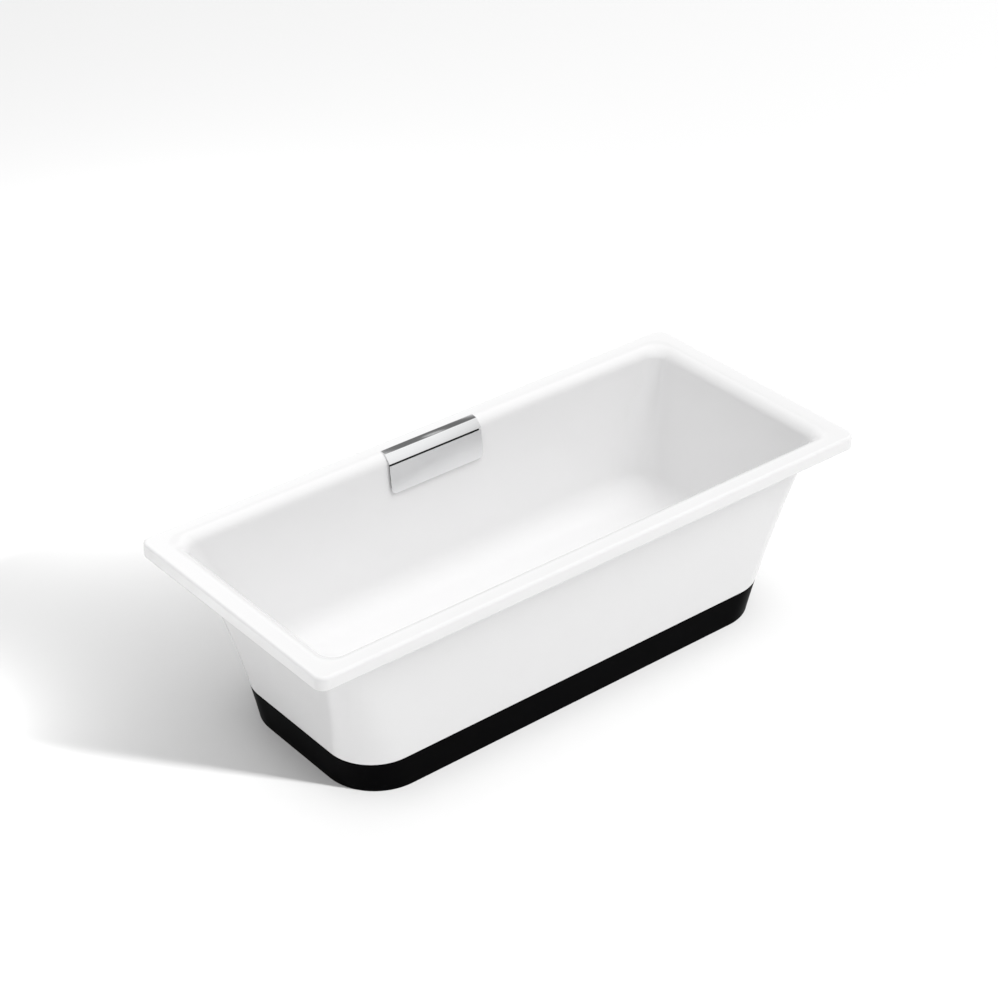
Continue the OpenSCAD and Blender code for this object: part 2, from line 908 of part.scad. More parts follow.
module overflow_body() {
    color(chrome)
        difference() {
            union() {
                on_far_wall(overflow_z) {
                    translate([0, 0, outer_gasket_t])
                        cylinder(r = body_flange_r, h = body_flange_t);
                    translate([0, 0, outer_gasket_t])
                        cylinder(r = nipple_r + 6, h = pipe_stand - outer_gasket_t);
                }
                translate([0, pipe_y, body_low])
                    cylinder(r = port_r, h = body_high - body_low);
            }
            on_far_wall(overflow_z)
                translate([0, 0, -over])
                    cylinder(r = nipple_r + gap, h = pipe_stand);
            translate([0, pipe_y, body_low - over])
                cylinder(r = tube_r - tube_wall, h = body_high - body_low - 4);
            translate([0, pipe_y, body_low - over])
                cylinder(r = socket_r, h = socket_depth + over);
            on_far_wall(overflow_z)
                translate([0, 0, outer_gasket_t - 60])
                    cylinder(r = body_flange_r + 20, h = 60);
        }
}

inner_gasket_t = 1.5;
nipple_flange_t = 2.5;
nipple_bore_r = nipple_r - 2.5;
pocket_floor = pocket_depth - wall_in;                     // on the wall's own axis
nipple_face = pocket_floor - inner_gasket_t - nipple_flange_t;

module overflow_inner_gasket() {
    color(rubber)
        on_far_wall(overflow_z)
            translate([0, 0, pocket_floor - inner_gasket_t])
                tube(pocket_r - 1, nipple_hole_r, inner_gasket_t);
}

module overflow_nipple() {
    color(chrome)
        on_far_wall(overflow_z)
            difference() {
                union() {
                    translate([0, 0, nipple_face])
                        cylinder(r = pocket_r - 1, h = nipple_flange_t);
                    translate([0, 0, nipple_face + 1])
                        cylinder(r = nipple_r, h = wall_in - pocket_depth + 17);
                }
                translate([0, 0, nipple_face - over])
                    cylinder(r = nipple_bore_r, h = wall_in + 40);
                for (s = [-1, 1])
                    translate([s * bracket_screw_x, 0, nipple_face - over])
                        cylinder(r = bracket_screw_r + 0.1, h = nipple_flange_t + 2 * over);
            }
}

bracket_screw_x = nipple_r + 5.5;
bracket_screw_r = 1.5;
bracket_t = 1.2;
bracket_w = 18;
bracket_half = plate_l / 2 - 26;
liner_t = 1.2;
liner_inset = 3;     // how far the liner's bars stand in from the plate's ends
liner_bar = 3;
liner_strip = 14;    // the liner's top strip, down from the plate's top edge
liner_up = 2;        // and up from it, behind the slot
plate_back = -wall_in - plate_gap;   // the plate's back, on the wall's own axis
bracket_z = nipple_face - bracket_t;
arm_z = min(bracket_z, -wall_in - gap - bracket_t);

// A strap across the nipple's face, with a pad at each end that carries the plate
module overflow_bracket() {
    pad_h = arm_z - plate_back - gap;
    color(steel)
        on_far_wall(overflow_z)
            difference() {
                union() {
                    translate([0, 0, arm_z])
                        cylinder(r = pocket_r - 2, h = nipple_face - arm_z);
                    translate([-bracket_half, -bracket_w / 2, arm_z])
                        cube([2 * bracket_half, bracket_w, bracket_t]);
                    for (s = [-1, 1])
                        translate([s * bracket_half - bracket_w / 2, -bracket_w / 2, arm_z - pad_h])
                            cube([bracket_w, bracket_w, pad_h + bracket_t]);
                }
                translate([0, 0, arm_z - over])
                    cylinder(r = nipple_bore_r, h = 10);
                for (s = [-1, 1])
                    translate([s * bracket_screw_x, 0, arm_z - over])
                        cylinder(r = bracket_screw_r + 0.2, h = 10);
            }
}

module bracket_screws() {
    color(steel)
        on_far_wall(overflow_z)
            for (s = [-1, 1])
                translate([s * bracket_screw_x, 0, arm_z - 1.4]) {
                    cylinder(r = 2.8, h = 1.4);
                    cylinder(r = bracket_screw_r, h = nipple_face - arm_z + nipple_flange_t + 1.4);
                }
}

// The plate's front upper edge lies a slot's height under the trim's lower edge
plate_top_z = trim_low_z - plate_t * cos(bevel_a) - slot_h;
plate_front = plate_t - plate_back;      // how far its front stands inside the casting's outside

plate_y = (overflow_z - plate_top_z + plate_front * sin(side_slope)) / cos(side_slope);

// The plate's outline in the wall's own plane: x along the tub, y down the wall
module plate_outline() {
    r = plate_corner_r;
    translate([-plate_l / 2, plate_y])
        square([plate_l, plate_h - r]);
    translate([-plate_l / 2 + r, plate_y])
        square([plate_l - 2 * r, plate_h]);
    for (s = [-1, 1])
        translate([s * (plate_l / 2 - r), plate_y + plate_h - r])
            circle(r = r);
}

// A dark channel bonded behind the plate: a strip behind the slot and a bar down each end
module overflow_liner() {
    half = plate_l / 2 - liner_inset;
    back = -wall_in - gap;
    color(rubber)
        on_far_wall(overflow_z) {
            translate([-half, plate_y - liner_up, back - liner_t])
                cube([2 * half, liner_up + liner_strip, liner_t]);
            for (s = [-1, 1])
                translate([s * (half - liner_bar / 2) - liner_bar / 2, plate_y + 1, plate_back])
                    cube([liner_bar, plate_h - plate_corner_r - 2, back - plate_back]);
        }
}

module overflow_plate() {
    color(chrome)
        on_far_wall(overflow_z)
            translate([0, 0, plate_back - plate_t])
                linear_extrude(plate_t)
                    plate_outline();
}

module rim_trim() {
    low = trim_inside(plate_t);
    color(chrome)
        translate([-plate_l / 2, 0, 0])
            rotate([90, 0, 90])
                linear_extrude(plate_l)
                    polygon([
                        trim_line[0], trim_line[1], trim_line[2], low[2], low[1], low[0]
                    ]);
}

tub_shell();
plinth_band();
plinth_seal();
plinth_clips();
plinth_screws();
cross_bearer_left();
cross_bearer_right();
side_rail_front();
side_rail_back();
bearer_bolts();
rail_bolts();
foot_stud_1();
foot_stud_2();
foot_stud_3();
foot_stud_4();
foot_pad_1();
foot_pad_2();
foot_pad_3();
foot_pad_4();
foot_locknuts();
drain_flange();
drain_gasket_top();
drain_gasket_bottom();
drain_shoe();
stopper_cap();
stopper_seal();
stopper_stem();
waste_arm();
waste_tee();
outlet_tail();
floor_escutcheon();
pipe_grommet();
slip_nuts();
slip_washers();
overflow_pipe();
overflow_body();
overflow_gasket();
overflow_inner_gasket();
overflow_nipple();
overflow_bracket();
bracket_screws();
overflow_liner();
overflow_plate();
rim_trim();
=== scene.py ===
import json
import math

import bpy
import numpy as np
from mathutils import Matrix, Vector

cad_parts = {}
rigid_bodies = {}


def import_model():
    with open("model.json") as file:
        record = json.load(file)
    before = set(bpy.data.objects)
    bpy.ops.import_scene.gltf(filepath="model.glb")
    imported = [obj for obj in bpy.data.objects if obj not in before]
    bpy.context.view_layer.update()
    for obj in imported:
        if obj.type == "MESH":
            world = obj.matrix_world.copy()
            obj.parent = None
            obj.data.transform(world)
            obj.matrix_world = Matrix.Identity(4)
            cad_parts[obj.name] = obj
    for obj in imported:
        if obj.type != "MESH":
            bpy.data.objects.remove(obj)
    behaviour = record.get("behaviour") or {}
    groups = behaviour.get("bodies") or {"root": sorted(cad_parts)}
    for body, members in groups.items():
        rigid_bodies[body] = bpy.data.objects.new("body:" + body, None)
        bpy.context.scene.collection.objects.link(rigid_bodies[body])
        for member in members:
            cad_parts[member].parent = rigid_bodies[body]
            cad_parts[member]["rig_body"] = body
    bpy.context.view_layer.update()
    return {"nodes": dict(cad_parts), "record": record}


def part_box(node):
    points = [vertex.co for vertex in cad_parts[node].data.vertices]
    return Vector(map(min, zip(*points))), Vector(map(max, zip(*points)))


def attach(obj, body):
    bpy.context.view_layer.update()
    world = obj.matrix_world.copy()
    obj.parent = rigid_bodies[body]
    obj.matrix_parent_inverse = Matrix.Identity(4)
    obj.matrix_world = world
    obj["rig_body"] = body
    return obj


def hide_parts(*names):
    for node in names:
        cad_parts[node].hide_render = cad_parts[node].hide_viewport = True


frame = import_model()
nodes = frame["nodes"]
mm = 0.001
print("frame loaded:", len(nodes), "nodes")

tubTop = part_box("tub_shell")[1]  # the highest corner of the tub's box
halfLength = tubTop.x / mm
halfWidth = tubTop.y / mm
rimHeight = tubTop.z / mm
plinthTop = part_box("plinth_band")[1].z / mm


# camera

cameraSet = {
    "lens": 90.1,
    "sensor": 36.0,
    "place": (-3.3572, -4.1191, 3.7719),
    "azimuth": -38.91,
    "elevation": 31.87,
    "roll": -0.34,
}


def placeCamera():
    # back points from the scene to the camera; right and up are turned about it by the roll
    azimuth = math.radians(cameraSet["azimuth"])
    elevation = math.radians(cameraSet["elevation"])
    back = Vector((
        math.sin(azimuth) * math.cos(elevation),
        -math.cos(azimuth) * math.cos(elevation),
        math.sin(elevation),
    ))
    right = Vector((0, 0, 1)).cross(back).normalized()
    turn = Matrix.Rotation(math.radians(cameraSet["roll"]), 3, back)
    right = turn @ right
    up = back.cross(right)
    data = bpy.data.cameras.new("studio_camera")
    data.lens = cameraSet["lens"]
    data.sensor_width = cameraSet["sensor"]
    data.clip_end = 100
    camera = bpy.data.objects.new("studio_camera", data)
    basis = Matrix((right, up, back)).transposed()
    camera.matrix_world = Matrix.Translation(cameraSet["place"]) @ basis.to_4x4()
    bpy.context.scene.collection.objects.link(camera)
    bpy.context.scene.camera = camera


placeCamera()
print("camera placed")


# node maths

class Value:
    # wraps a socket, so that arithmetic on it adds Math nodes
    def __init__(self, tree, socket):
        self.tree = tree
        self.socket = socket

    def maths(self, operation, first, second=0.0):
        node = self.tree.nodes.new("ShaderNodeMath")
        node.operation = operation
        for slot, given in zip(node.inputs, (first, second)):
            connect(self.tree, slot, given)
        return Value(self.tree, node.outputs[0])

    def __add__(self, other):
        return self.maths("ADD", self, other)

    def __radd__(self, other):
        return self.maths("ADD", other, self)

    def __sub__(self, other):
        return self.maths("SUBTRACT", self, other)

    def __rsub__(self, other):
        return self.maths("SUBTRACT", other, self)

    def __mul__(self, other):
        return self.maths("MULTIPLY", self, other)

    def __rmul__(self, other):
        return self.maths("MULTIPLY", other, self)


def connect(tree, slot, given):
    # links a value, or sets a number or colour
    if isinstance(given, Value):
        tree.links.new(given.socket, slot)
    else:
        slot.default_value = given


class Finish:
    # a material with one Principled shader; constants go straight onto the shader
    def __init__(self, name, constants):
        self.material = bpy.data.materials.new(name)
        self.material.use_nodes = True
        self.tree = self.material.node_tree
        self.shader = self.tree.nodes["Principled BSDF"]
        for socket, value in constants.items():
            self.shader.inputs[socket].default_value = value
        self.place = self.node("ShaderNodeTexCoord", {}, {}, "Object")

    def node(self, kind, settings, sockets, out=0):
        # any node: its type, its settings, then the values or links of its sockets
        made = self.tree.nodes.new(kind)
        for name, setting in settings.items():
            setattr(made, name, setting)
        for name, given in sockets.items():
            connect(self.tree, made.inputs[name], given)
        return Value(self.tree, made.outputs[out])

    def noise(self, scale, detail=2.0, rough=0.5, stretch=(1, 1, 1)):
        # fractal noise in metres, optionally stretched along an axis
        place = self.node("ShaderNodeMapping", {}, {"Vector": self.place, "Scale": stretch})
        return self.node("ShaderNodeTexNoise", {}, {
            "Vector": place, "Scale": scale, "Detail": detail, "Roughness": rough,
        })

    def between(self, factor, low, high):
        # a colour between two others
        return self.node(
            "ShaderNodeMix", {"data_type": "RGBA"},
            {"Factor": factor, 6: (*low, 1), 7: (*high, 1)}, 2,
        )

    def bump(self, height, distance, under=None):
        # a height in metres, over another bump if one is given
        sockets = {"Height": height, "Distance": distance, "Strength": 1.0}
        if under is not None:
            sockets["Normal"] = under
        return self.node("ShaderNodeBump", {}, sockets)

    def use(self, **given):
        # links what varies over the surface to the shader
        names = {"colour": "Base Color", "rough": "Roughness", "normal": "Normal"}
        for name, value in given.items():
            connect(self.tree, self.shader.inputs[names[name]], value)
        return self.material


# finishes

def enamelFinish():
    # glass-hard white: a long faint waviness, orange peel under it, and a slightly uneven gloss
    finish = Finish("white_enamel", {"Coat Weight": 0.25, "Coat Roughness": 0.05, "IOR": 1.5})
    wave = finish.noise(5.0, 1.0)
    peel = finish.noise(260.0, 2.0)
    patch = finish.noise(9.0, 3.0)
    normal = finish.bump(peel, 0.00002, under=finish.bump(wave, 0.0008))
    return finish.use(
        colour=finish.between(patch, (0.842, 0.840, 0.842), (0.858, 0.856, 0.858)),
        rough=0.12 + patch * 0.08,
        normal=normal,
    )


def plinthFinish():
    # black lacquer with a trace of dust and peel
    finish = Finish("black_lacquer", {"IOR": 1.05})
    peel = finish.noise(180.0, 2.0)
    patch = finish.noise(14.0, 4.0)
    return finish.use(
        colour=finish.between(patch, (0.0012, 0.0012, 0.0014), (0.0028, 0.0028, 0.0031)),
        rough=0.28 + patch * 0.14,
        normal=finish.bump(peel, 0.00003),
    )


def plateFinish(name, gloss):
    # chrome over a lightly brushed plate; the grain runs along the plate
    finish = Finish(name, {"Metallic": 1.0})
    grain = finish.noise(700.0, 3.0, 0.6, (0.02, 1, 1))
    cloud = finish.noise(22.0, 2.0)
    return finish.use(
        colour=finish.between(cloud, (0.85, 0.855, 0.86), (0.89, 0.895, 0.90)),
        rough=gloss + grain * 0.04 + cloud * 0.03,
        normal=finish.bump(grain, 0.000008),
    )


def chromeFinish():
    # polished plating with a slightly clouded gloss
    finish = Finish("tube_chrome", {"Metallic": 1.0})
    cloud = finish.noise(35.0, 3.0)
    fine = finish.noise(900.0, 2.0)
    return finish.use(
        colour=finish.between(cloud, (0.74, 0.75, 0.77), (0.80, 0.81, 0.82)),
        rough=0.06 + cloud * 0.06,
        normal=finish.bump(fine, 0.000006),
    )


def stainlessFinish():
    # brushed along X, the grain being noise stretched thirty times that way
    finish = Finish("brushed_stainless", {"Metallic": 1.0})
    grain = finish.noise(900.0, 3.0, 0.6, (0.03, 1, 1))
    return finish.use(
        colour=finish.between(grain, (0.52, 0.52, 0.53), (0.64, 0.64, 0.65)),
        rough=0.22 + grain * 0.16,
        normal=finish.bump(grain, 0.00002),
    )


def zincFinish():
    # plated steel: small crystals of lighter and darker grey
    finish = Finish("zinc_plate", {"Metallic": 0.9})
    crystal = finish.node("ShaderNodeTexVoronoi", {}, {"Vector": finish.place, "Scale": 420.0}, "Color")
    shade = finish.node("ShaderNodeSeparateColor", {}, {"Color": crystal})
    cloud = finish.noise(60.0, 3.0)
    return finish.use(
        colour=finish.between(shade * 0.5 + cloud * 0.5, (0.42, 0.43, 0.45), (0.62, 0.63, 0.66)),
        rough=0.28 + shade * 0.14,
        normal=finish.bump(cloud, 0.00003),
    )


def paintFinish():
    # powder coat: fine grit over slow changes of shade
    finish = Finish("black_powder_coat", {"IOR": 1.5})
    grit = finish.noise(650.0, 3.0, 0.7)
    cloud = finish.noise(20.0, 3.0)
    return finish.use(
        colour=finish.between(cloud, (0.022, 0.022, 0.024), (0.042, 0.042, 0.045)),
        rough=0.42 + grit * 0.2,
        normal=finish.bump(grit, 0.00012),
    )


def brassFinish():
    # sand-cast skin, rough at the size of the grains
    finish = Finish("cast_brass", {"Metallic": 1.0})
    cast = finish.noise(320.0, 4.0, 0.65)
    cloud = finish.noise(30.0, 3.0)
    return finish.use(
        colour=finish.between(cloud, (0.56, 0.40, 0.17), (0.72, 0.55, 0.27)),
        rough=0.26 + cast * 0.22,
        normal=finish.bump(cast, 0.00008),
    )


def rubberFinish():
    # dull black with a little dust
    finish = Finish("black_rubber", {"IOR": 1.45})
    dust = finish.noise(120.0, 4.0, 0.6)
    fine = finish.noise(1400.0, 2.0)
    return finish.use(
        colour=finish.between(dust, (0.014, 0.014, 0.014), (0.032, 0.031, 0.030)),
        rough=0.62 + dust * 0.2,
        normal=finish.bump(fine, 0.00002),
    )


def nylonFinish():
    # cream and slightly translucent
    finish = Finish("natural_nylon", {"IOR": 1.5, "Subsurface Weight": 0.1})
    cloud = finish.noise(90.0, 3.0)
    return finish.use(
        colour=finish.between(cloud, (0.74, 0.73, 0.69), (0.82, 0.81, 0.78)),
        rough=0.36 + cloud * 0.12,
        normal=finish.bump(cloud, 0.00003),
    )


def linerPaintedShadeFinish():
    # matt black plastic with a fine spark; its near-black is also painted shade, standing in for the
    # shadow in the slot above the overflow plate and in the gap behind it
    finish = Finish("black_moulding_painted_shade", {"IOR": 1.4})
    spark = finish.noise(800.0, 3.0, 0.6)
    cloud = finish.noise(40.0, 3.0)
    # near-black colour: painted shade for the slot and the gap around the overflow plate
    return finish.use(
        colour=finish.between(cloud, (0.008, 0.008, 0.008), (0.018, 0.018, 0.018)),
        rough=0.55 + spark * 0.2,
        normal=finish.bump(spark, 0.00003),
    )


finishes = {
    "enamel": enamelFinish(),
    "plinth_gloss": plinthFinish(),
    "plate_chrome": plateFinish("plate_chrome", 0.12),
    "trim_chrome": plateFinish("trim_chrome", 0.05),
    "chrome": chromeFinish(),
    "stainless": stainlessFinish(),
    "zinc_steel": zincFinish(),
    "painted_steel": paintFinish(),
    "brass": brassFinish(),
    "rubber": rubberFinish(),
    "washer_plastic": nylonFinish(),
    "liner_plastic": linerPaintedShadeFinish(),
}
slotOf = {part["node"]: part["material_slot"] for part in frame["record"]["subparts"]}
for name, piece in nodes.items():
    piece.data.materials.clear()
    piece.data.materials.append(finishes[slotOf[name]])
print("finishes made:", len(finishes))


# mesh making

def addPiece(name, points, faces, node, sharp=35.0, finish=None):
    # points in millimetres; the piece stands for a CAD node and takes its body and finish
    mesh = bpy.data.meshes.new(name)
    mesh.from_pydata((np.asarray(points) * mm).tolist(), [], faces)
    mesh.validate()
    mesh.update()
    piece = bpy.data.objects.new(name, mesh)
    bpy.context.scene.collection.objects.link(piece)
    mesh.materials.append(finishes[finish or slotOf[node]])
    smooth(mesh, sharp)
    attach(piece, nodes[node]["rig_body"])
    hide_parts(node)
    return piece


def smooth(mesh, sharp):
    # smooth shading, broken at edges sharper than the given degrees
    mesh.polygons.foreach_set("use_smooth", np.ones(len(mesh.polygons), bool))
    mesh.set_sharp_from_angle(angle=math.radians(sharp))


def gridFaces(rings, around, closed):
    # quads between ring i and ring i + 1, where each ring runs anticlockwise seen from outside
    i, j = np.meshgrid(np.arange(rings if closed else rings - 1), np.arange(around), indexing="ij")
    up = (i + 1) % rings
    on = (j + 1) % around
    quads = np.stack([i * around + j, i * around + on, up * around + on, up * around + j], axis=-1)
    return quads.reshape(-1, 4).tolist()


def planTable(cornerSteps, longSteps, shortSteps):
    # a rounded rectangle as sums: x = ax (hx - r) + dx r and y = ay (hy - r) + dy r,
    # with cornerSteps arcs at the corners and straight runs between them
    rows = []
    signs = [(1, 1), (-1, 1), (-1, -1), (1, -1)]
    for q in range(4):
        angle = np.radians(90 * (q + np.linspace(0, 1, cornerSteps + 1)))
        ones = np.ones_like(angle)
        corner = np.stack([signs[q][0] * ones, signs[q][1] * ones, np.cos(angle), np.sin(angle)], axis=1)
        following = signs[(q + 1) % 4]
        turned = math.radians(90 * (q + 1))
        along = np.linspace(0, 1, (longSteps, shortSteps)[q % 2] + 2)[1:-1, None]
        first = corner[-1:]
        last = np.array([[*following, math.cos(turned), math.sin(turned)]])
        rows += [corner, first + along * (last - first)]
    return np.concatenate(rows)


def planRings(table, hx, hy, r, z):
    # one ring per station, from half sizes, corner radius and height as equal-length arrays
    hx, hy, r, z = (np.asarray(v, float)[:, None] for v in (hx, hy, r, z))
    ax, ay, dx, dy = table.T
    x = ax * (hx - r) + dx * r
    y = ay * (hy - r) + dy * r
    return np.stack([x, y, z + 0 * x], axis=-1)


def quarter(steps, start=0.0, end=90.0):
    # the angles of a round, given in degrees and returned in radians
    return np.radians(np.linspace(start, end, steps + 1))


# casting

casting = {
    "lipDrop": 40, "lipWall": 9, "rimWall": 9, "lipTopRound": 8, "lipBottomRound": 7,
    "lipInsideRound": 3, "lipEdgeRound": 2, "footRound": [2, 0.6],
    "rimCorner": 30, "endOverhang": 77, "sideOverhang": 55, "endRake": 103, "endBow": 15,
    "sideRake": 48, "neckCorner": 69, "baseCorner": 143, "endWall": 7, "sideWall": 14,
    "basinNeckCorner": 47, "basinBaseCorner": 130, "endRoll": 40, "sideRoll": 33, "rollDrop": 30,
    "floorEdge": 107, "floorMiddle": 104, "floorRound": 75, "cornerShare": 0.6, "underside": 95,
    "drainHole": 27, "seatRadius": 36.5, "seatSunk": 3, "seatEase": 0.5,
    "bossX": 430, "bossY": 130, "bossRadius": 18, "bossLow": 83, "bossHole": 4.1,
    "overflowBelow": 74, "nippleHole": 17, "pocket": 28, "pocketDepth": 5,
}
planSteps = (16, 48, 18)  # along a corner, a long side and an end
neckZ = rimHeight - casting["lipDrop"]
sideSlope = math.atan(casting["sideRake"] / neckZ)


def bodyPlan(z, inside=False):
    # half sizes and corner radius at height z: each wall leans out with height, the ends with a bow
    t = np.asarray(z, float) / neckZ
    c = casting
    hx = halfLength - c["endOverhang"] - c["endRake"] * (1 - t) - 4 * c["endBow"] * t * (1 - t)
    hy = halfWidth - c["sideOverhang"] - c["sideRake"] * (1 - t)
    if inside:
        return (hx - c["endWall"], hy - c["sideWall"],
                c["basinBaseCorner"] + (c["basinNeckCorner"] - c["basinBaseCorner"]) * t)
    return hx, hy, c["baseCorner"] + (c["neckCorner"] - c["baseCorner"]) * t


def rollPlan(z, a, inside, cornerGain):
    # the wall goes on at its own slope while a quarter round adds the rest of the way out:
    # half size = wall(z) + (roll - wall's own growth) (1 - cos a)
    low = bodyPlan(z[0], inside)
    top = bodyPlan(z[-1], inside)
    here = bodyPlan(z, inside)
    out = 1 - np.cos(a)
    hx = here[0] + (casting["endRoll"] - (top[0] - low[0])) * out
    hy = here[1] + (casting["sideRoll"] - (top[1] - low[1])) * out
    return hx, hy, low[2] + cornerGain * out


def castingRings(table):
    # up the outer wall, round the lip, over the rim and down the basin, one ring after another
    c = casting
    parts = []

    def add(hx, hy, r, z):
        parts.append(planRings(table, hx, hy, r, z))

    # outer wall, with a small round where it meets the plinth
    z = c["underside"] + np.concatenate([[0, 0.6, 2], np.linspace(6, neckZ + 1 - c["underside"], 26)])
    hx, hy, r = bodyPlan(z)
    cut = np.zeros_like(z)
    cut[:2] = c["footRound"]
    add(hx - cut, hy - cut, r - cut, z)

    # under the rim
    underRim = rimHeight - c["rimWall"]
    rollFoot = neckZ + 1
    a = quarter(12)[1:]
    z = np.concatenate([[rollFoot], rollFoot + (underRim - rollFoot) * np.sin(a)])
    hx, hy, r = rollPlan(z, np.concatenate([[0], a]), False, (c["rimCorner"] - c["neckCorner"]) / 2)
    add(hx[1:], hy[1:], r[1:], z[1:])

    # lip: inner corner, inside face, rounded bottom, outer face, rounded top
    lip, inside, edge = c["lipWall"], c["lipInsideRound"], c["lipEdgeRound"]
    a = quarter(6)
    cut = np.concatenate([[lip + 3 * inside, lip + inside], lip + inside * (1 - np.sin(a)), [lip] * 6])
    z = np.concatenate([[underRim] * 2, underRim - inside * (1 - np.cos(a)),
                        np.linspace(underRim - inside - 5, neckZ + edge + 0.5, 6)])
    cut = np.concatenate([cut, lip - edge * (1 - np.cos(a))])
    z = np.concatenate([z, neckZ + edge * (1 - np.sin(a))])
    a = quarter(8)
    cut = np.concatenate([cut, c["lipBottomRound"] * (1 - np.sin(a))])
    z = np.concatenate([z, neckZ + c["lipBottomRound"] * (1 - np.cos(a))])
    cut = np.concatenate([cut, [0] * 4])
    z = np.concatenate([z, np.linspace(neckZ + c["lipBottomRound"] + 3,
                                       rimHeight - c["lipTopRound"] - 2, 4)])
    a = quarter(12)
    cut = np.concatenate([cut, c["lipTopRound"] * (1 - np.cos(a))])
    z = np.concatenate([z, rimHeight - c["lipTopRound"] * (1 - np.sin(a))])
    add(halfLength - cut, halfWidth - cut, c["rimCorner"] - cut, z)

    # flat of the rim, blending the lip's plan into the roll's plan
    a = quarter(18, 90, 0)
    rollLow = rimHeight - c["rollDrop"]
    z = rollLow + c["rollDrop"] * np.sin(a)
    hx, hy, r = (v[::-1] for v in rollPlan(z[::-1], a[::-1], True, 3))
    share = np.linspace(0, 1, 6)[1:-1]
    cut = c["lipTopRound"]
    outer = (halfLength - cut, halfWidth - cut, c["rimCorner"] - cut)
    mixed = [o + (inner[0] - o) * share for o, inner in zip(outer, (hx, hy, r))]
    add(*mixed, [rimHeight] * len(share))
    add(hx, hy, r, z)

    # basin wall, then the round into the floor
    roundTop = c["floorEdge"] + c["floorRound"]
    z = np.linspace(rollLow, roundTop, 26)[1:]
    add(*bodyPlan(z, True), z)
    a = quarter(18)[1:]
    z = c["floorEdge"] + c["floorRound"] * (1 - np.sin(a))
    cut = c["floorRound"] * (1 - np.cos(a))
    hx, hy, r = bodyPlan(z, True)
    add(hx - cut, hy - cut, r - c["cornerShare"] * cut, z)
    return np.concatenate(parts)


def discRing(like, radius, z):
    # a circle whose points keep the bearings of a long ring's points, scaled to a square plan
    half = np.abs(like).max(axis=0)
    angle = np.arctan2(like[:, 1] / half[1], like[:, 0] / half[0])
    return np.stack([radius * np.cos(angle), radius * np.sin(angle), np.full_like(angle, z)], axis=1)


def blendRings(first, last, shares):
    # straight blends from one ring to another: first + share (last - first)
    return first + np.asarray(shares)[:, None, None] * (last - first)


def latheRings(profile, sides, wave=None):
    # a profile of radius and height turned about Z: (r cos a, r sin a, z); wave(profile, a) adds to r
    profile = np.asarray(profile, float)
    angle = np.arange(sides) * 2 * math.pi / sides
    radius = profile[:, :1] + (0 if wave is None else wave(profile, angle))
    return np.stack([radius * np.cos(angle), radius * np.sin(angle), profile[:, 1:] + 0 * angle],
                    axis=-1)


def wallMatrix(z):
    # stands on the outside of the far long wall at height z, its Z axis out of the wall
    hy = float(bodyPlan(z)[1])
    turn = Matrix.Rotation(-math.pi / 2 - sideSlope, 4, "X")
    return Matrix.Translation((0, hy, z)) @ turn


def moved(points, matrix):
    # points turned and shifted by a matrix
    m = np.array(matrix)
    return points @ m[:3, :3].T + m[:3, 3]


def joined(shapes):
    # several shapes, each points and faces, as one
    points, faces, start = [], [], 0
    for shapePoints, shapeFaces in shapes:
        points.append(np.asarray(shapePoints).reshape(-1, 3))
        faces += [[start + k for k in face] for face in shapeFaces]
        start += len(points[-1])
    return np.concatenate(points), faces


def cutWith(piece, cutters, sharp):
    # takes closed cutter shapes out of a piece
    points, faces = joined(cutters)
    mesh = bpy.data.meshes.new("cutter")
    mesh.from_pydata((points * mm).tolist(), [], faces)
    mesh.update()
    cutter = bpy.data.objects.new("cutter", mesh)
    bpy.context.scene.collection.objects.link(cutter)
    step = piece.modifiers.new("cut", "BOOLEAN")
    step.operation = "DIFFERENCE"
    step.solver = "EXACT"
    step.object = cutter
    applyModifiers(piece, sharp)
    bpy.data.objects.remove(cutter)


def applyModifiers(piece, sharp):
    # the piece's mesh becomes what its modifiers make of it
    ready = piece.evaluated_get(bpy.context.evaluated_depsgraph_get())
    mesh = bpy.data.meshes.new_from_object(ready)
    piece.modifiers.clear()
    old = piece.data
    piece.data = mesh
    bpy.data.meshes.remove(old)
    mesh.name = piece.name
    smooth(mesh, sharp)


def closedLathe(profile, sides, matrix=None):
    # a profile that starts and ends on the axis, as a closed shape with a fan at each end
    rings = latheRings(profile[1:-1], sides)
    points = rings.reshape(-1, 3)
    count = len(points)
    points = np.concatenate([points, [[0, 0, profile[0][1]], [0, 0, profile[-1][1]]]])
    faces = gridFaces(len(rings), sides, False)
    last = (len(rings) - 1) * sides
    j = np.arange(sides)
    k = (j + 1) % sides
    fans = np.array([[k, j, 0 * j + count], [last + j, last + k, 0 * j + count + 1]])
    faces += fans.transpose(2, 0, 1).reshape(-1, 3).tolist()
    return (moved(points, matrix) if matrix is not None else points), faces


def ringLathe(profile, sides, wave=None):
    # a closed profile turned about Z
    rings = latheRings(profile, sides, wave)
    return rings.reshape(-1, 3), gridFaces(len(rings), sides, True)


def closedPrism(outline, low, high, upright=False):
    # an outline run straight from low to high: along Z if upright, and otherwise along X
    outline = np.asarray(outline, float)
    count = len(outline)
    columns = [(outline, np.full(count, v)) if upright else (np.full(count, v), outline)
               for v in (low, high)]
    faces = gridFaces(2, count, False)
    faces.append(list(range(count))[::-1])
    faces.append(list(range(count, 2 * count)))
    return np.concatenate([np.column_stack(c) for c in columns]), faces


